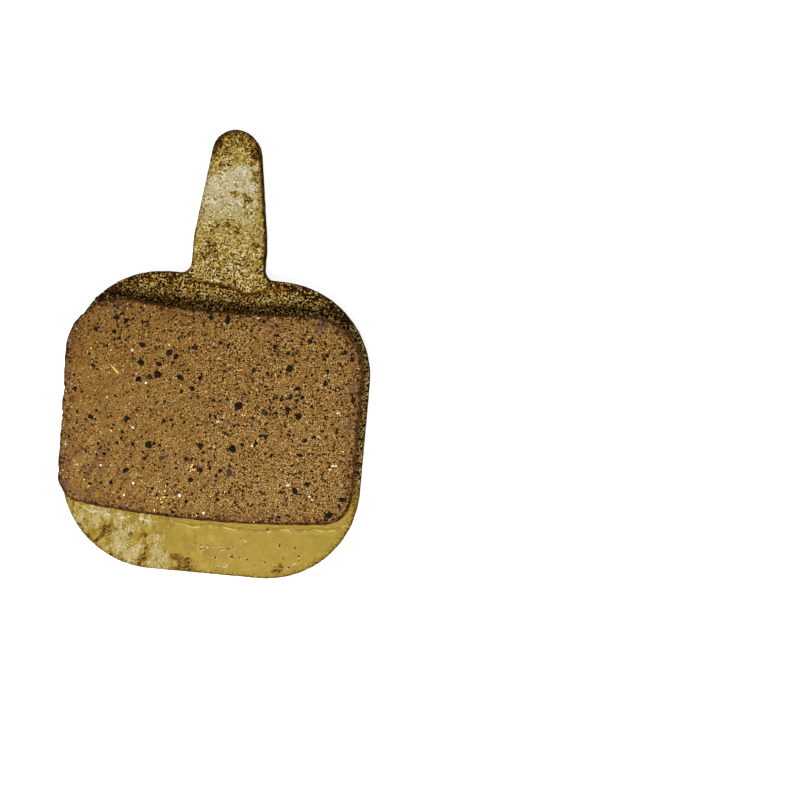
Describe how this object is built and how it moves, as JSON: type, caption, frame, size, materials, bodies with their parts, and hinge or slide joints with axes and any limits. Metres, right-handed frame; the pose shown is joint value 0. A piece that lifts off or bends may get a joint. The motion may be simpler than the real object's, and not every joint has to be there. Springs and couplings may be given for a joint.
{
  "type": "disc brake pad",
  "caption": "Bicycle disc brake pad: a rounded-square steel backing plate with a tapered pull tab, and a friction block pressed on it and keyed through holes in the plate.",
  "frame": {"origin": "on the plate's back face, at the axis of its centre hole, where the calliper's piston pushes", "axes": "+X across the pad, +Y along the pull tab towards its tip, +Z from the back face to the friction face"},
  "size_m": [0.0222, 0.0327, 0.004],
  "materials": {
    "plate_lacquer": "gold metallic lacquer on stamped steel, glossy on the front, grainy on the back",
    "friction_compound": "matte tan-brown semi-metallic compound with black graphite granules and bright metal specks"
  },
  "bodies": {
    "root": {"backing_plate": "plate_lacquer", "friction_block": "friction_compound"}
  },
  "joints": []
}
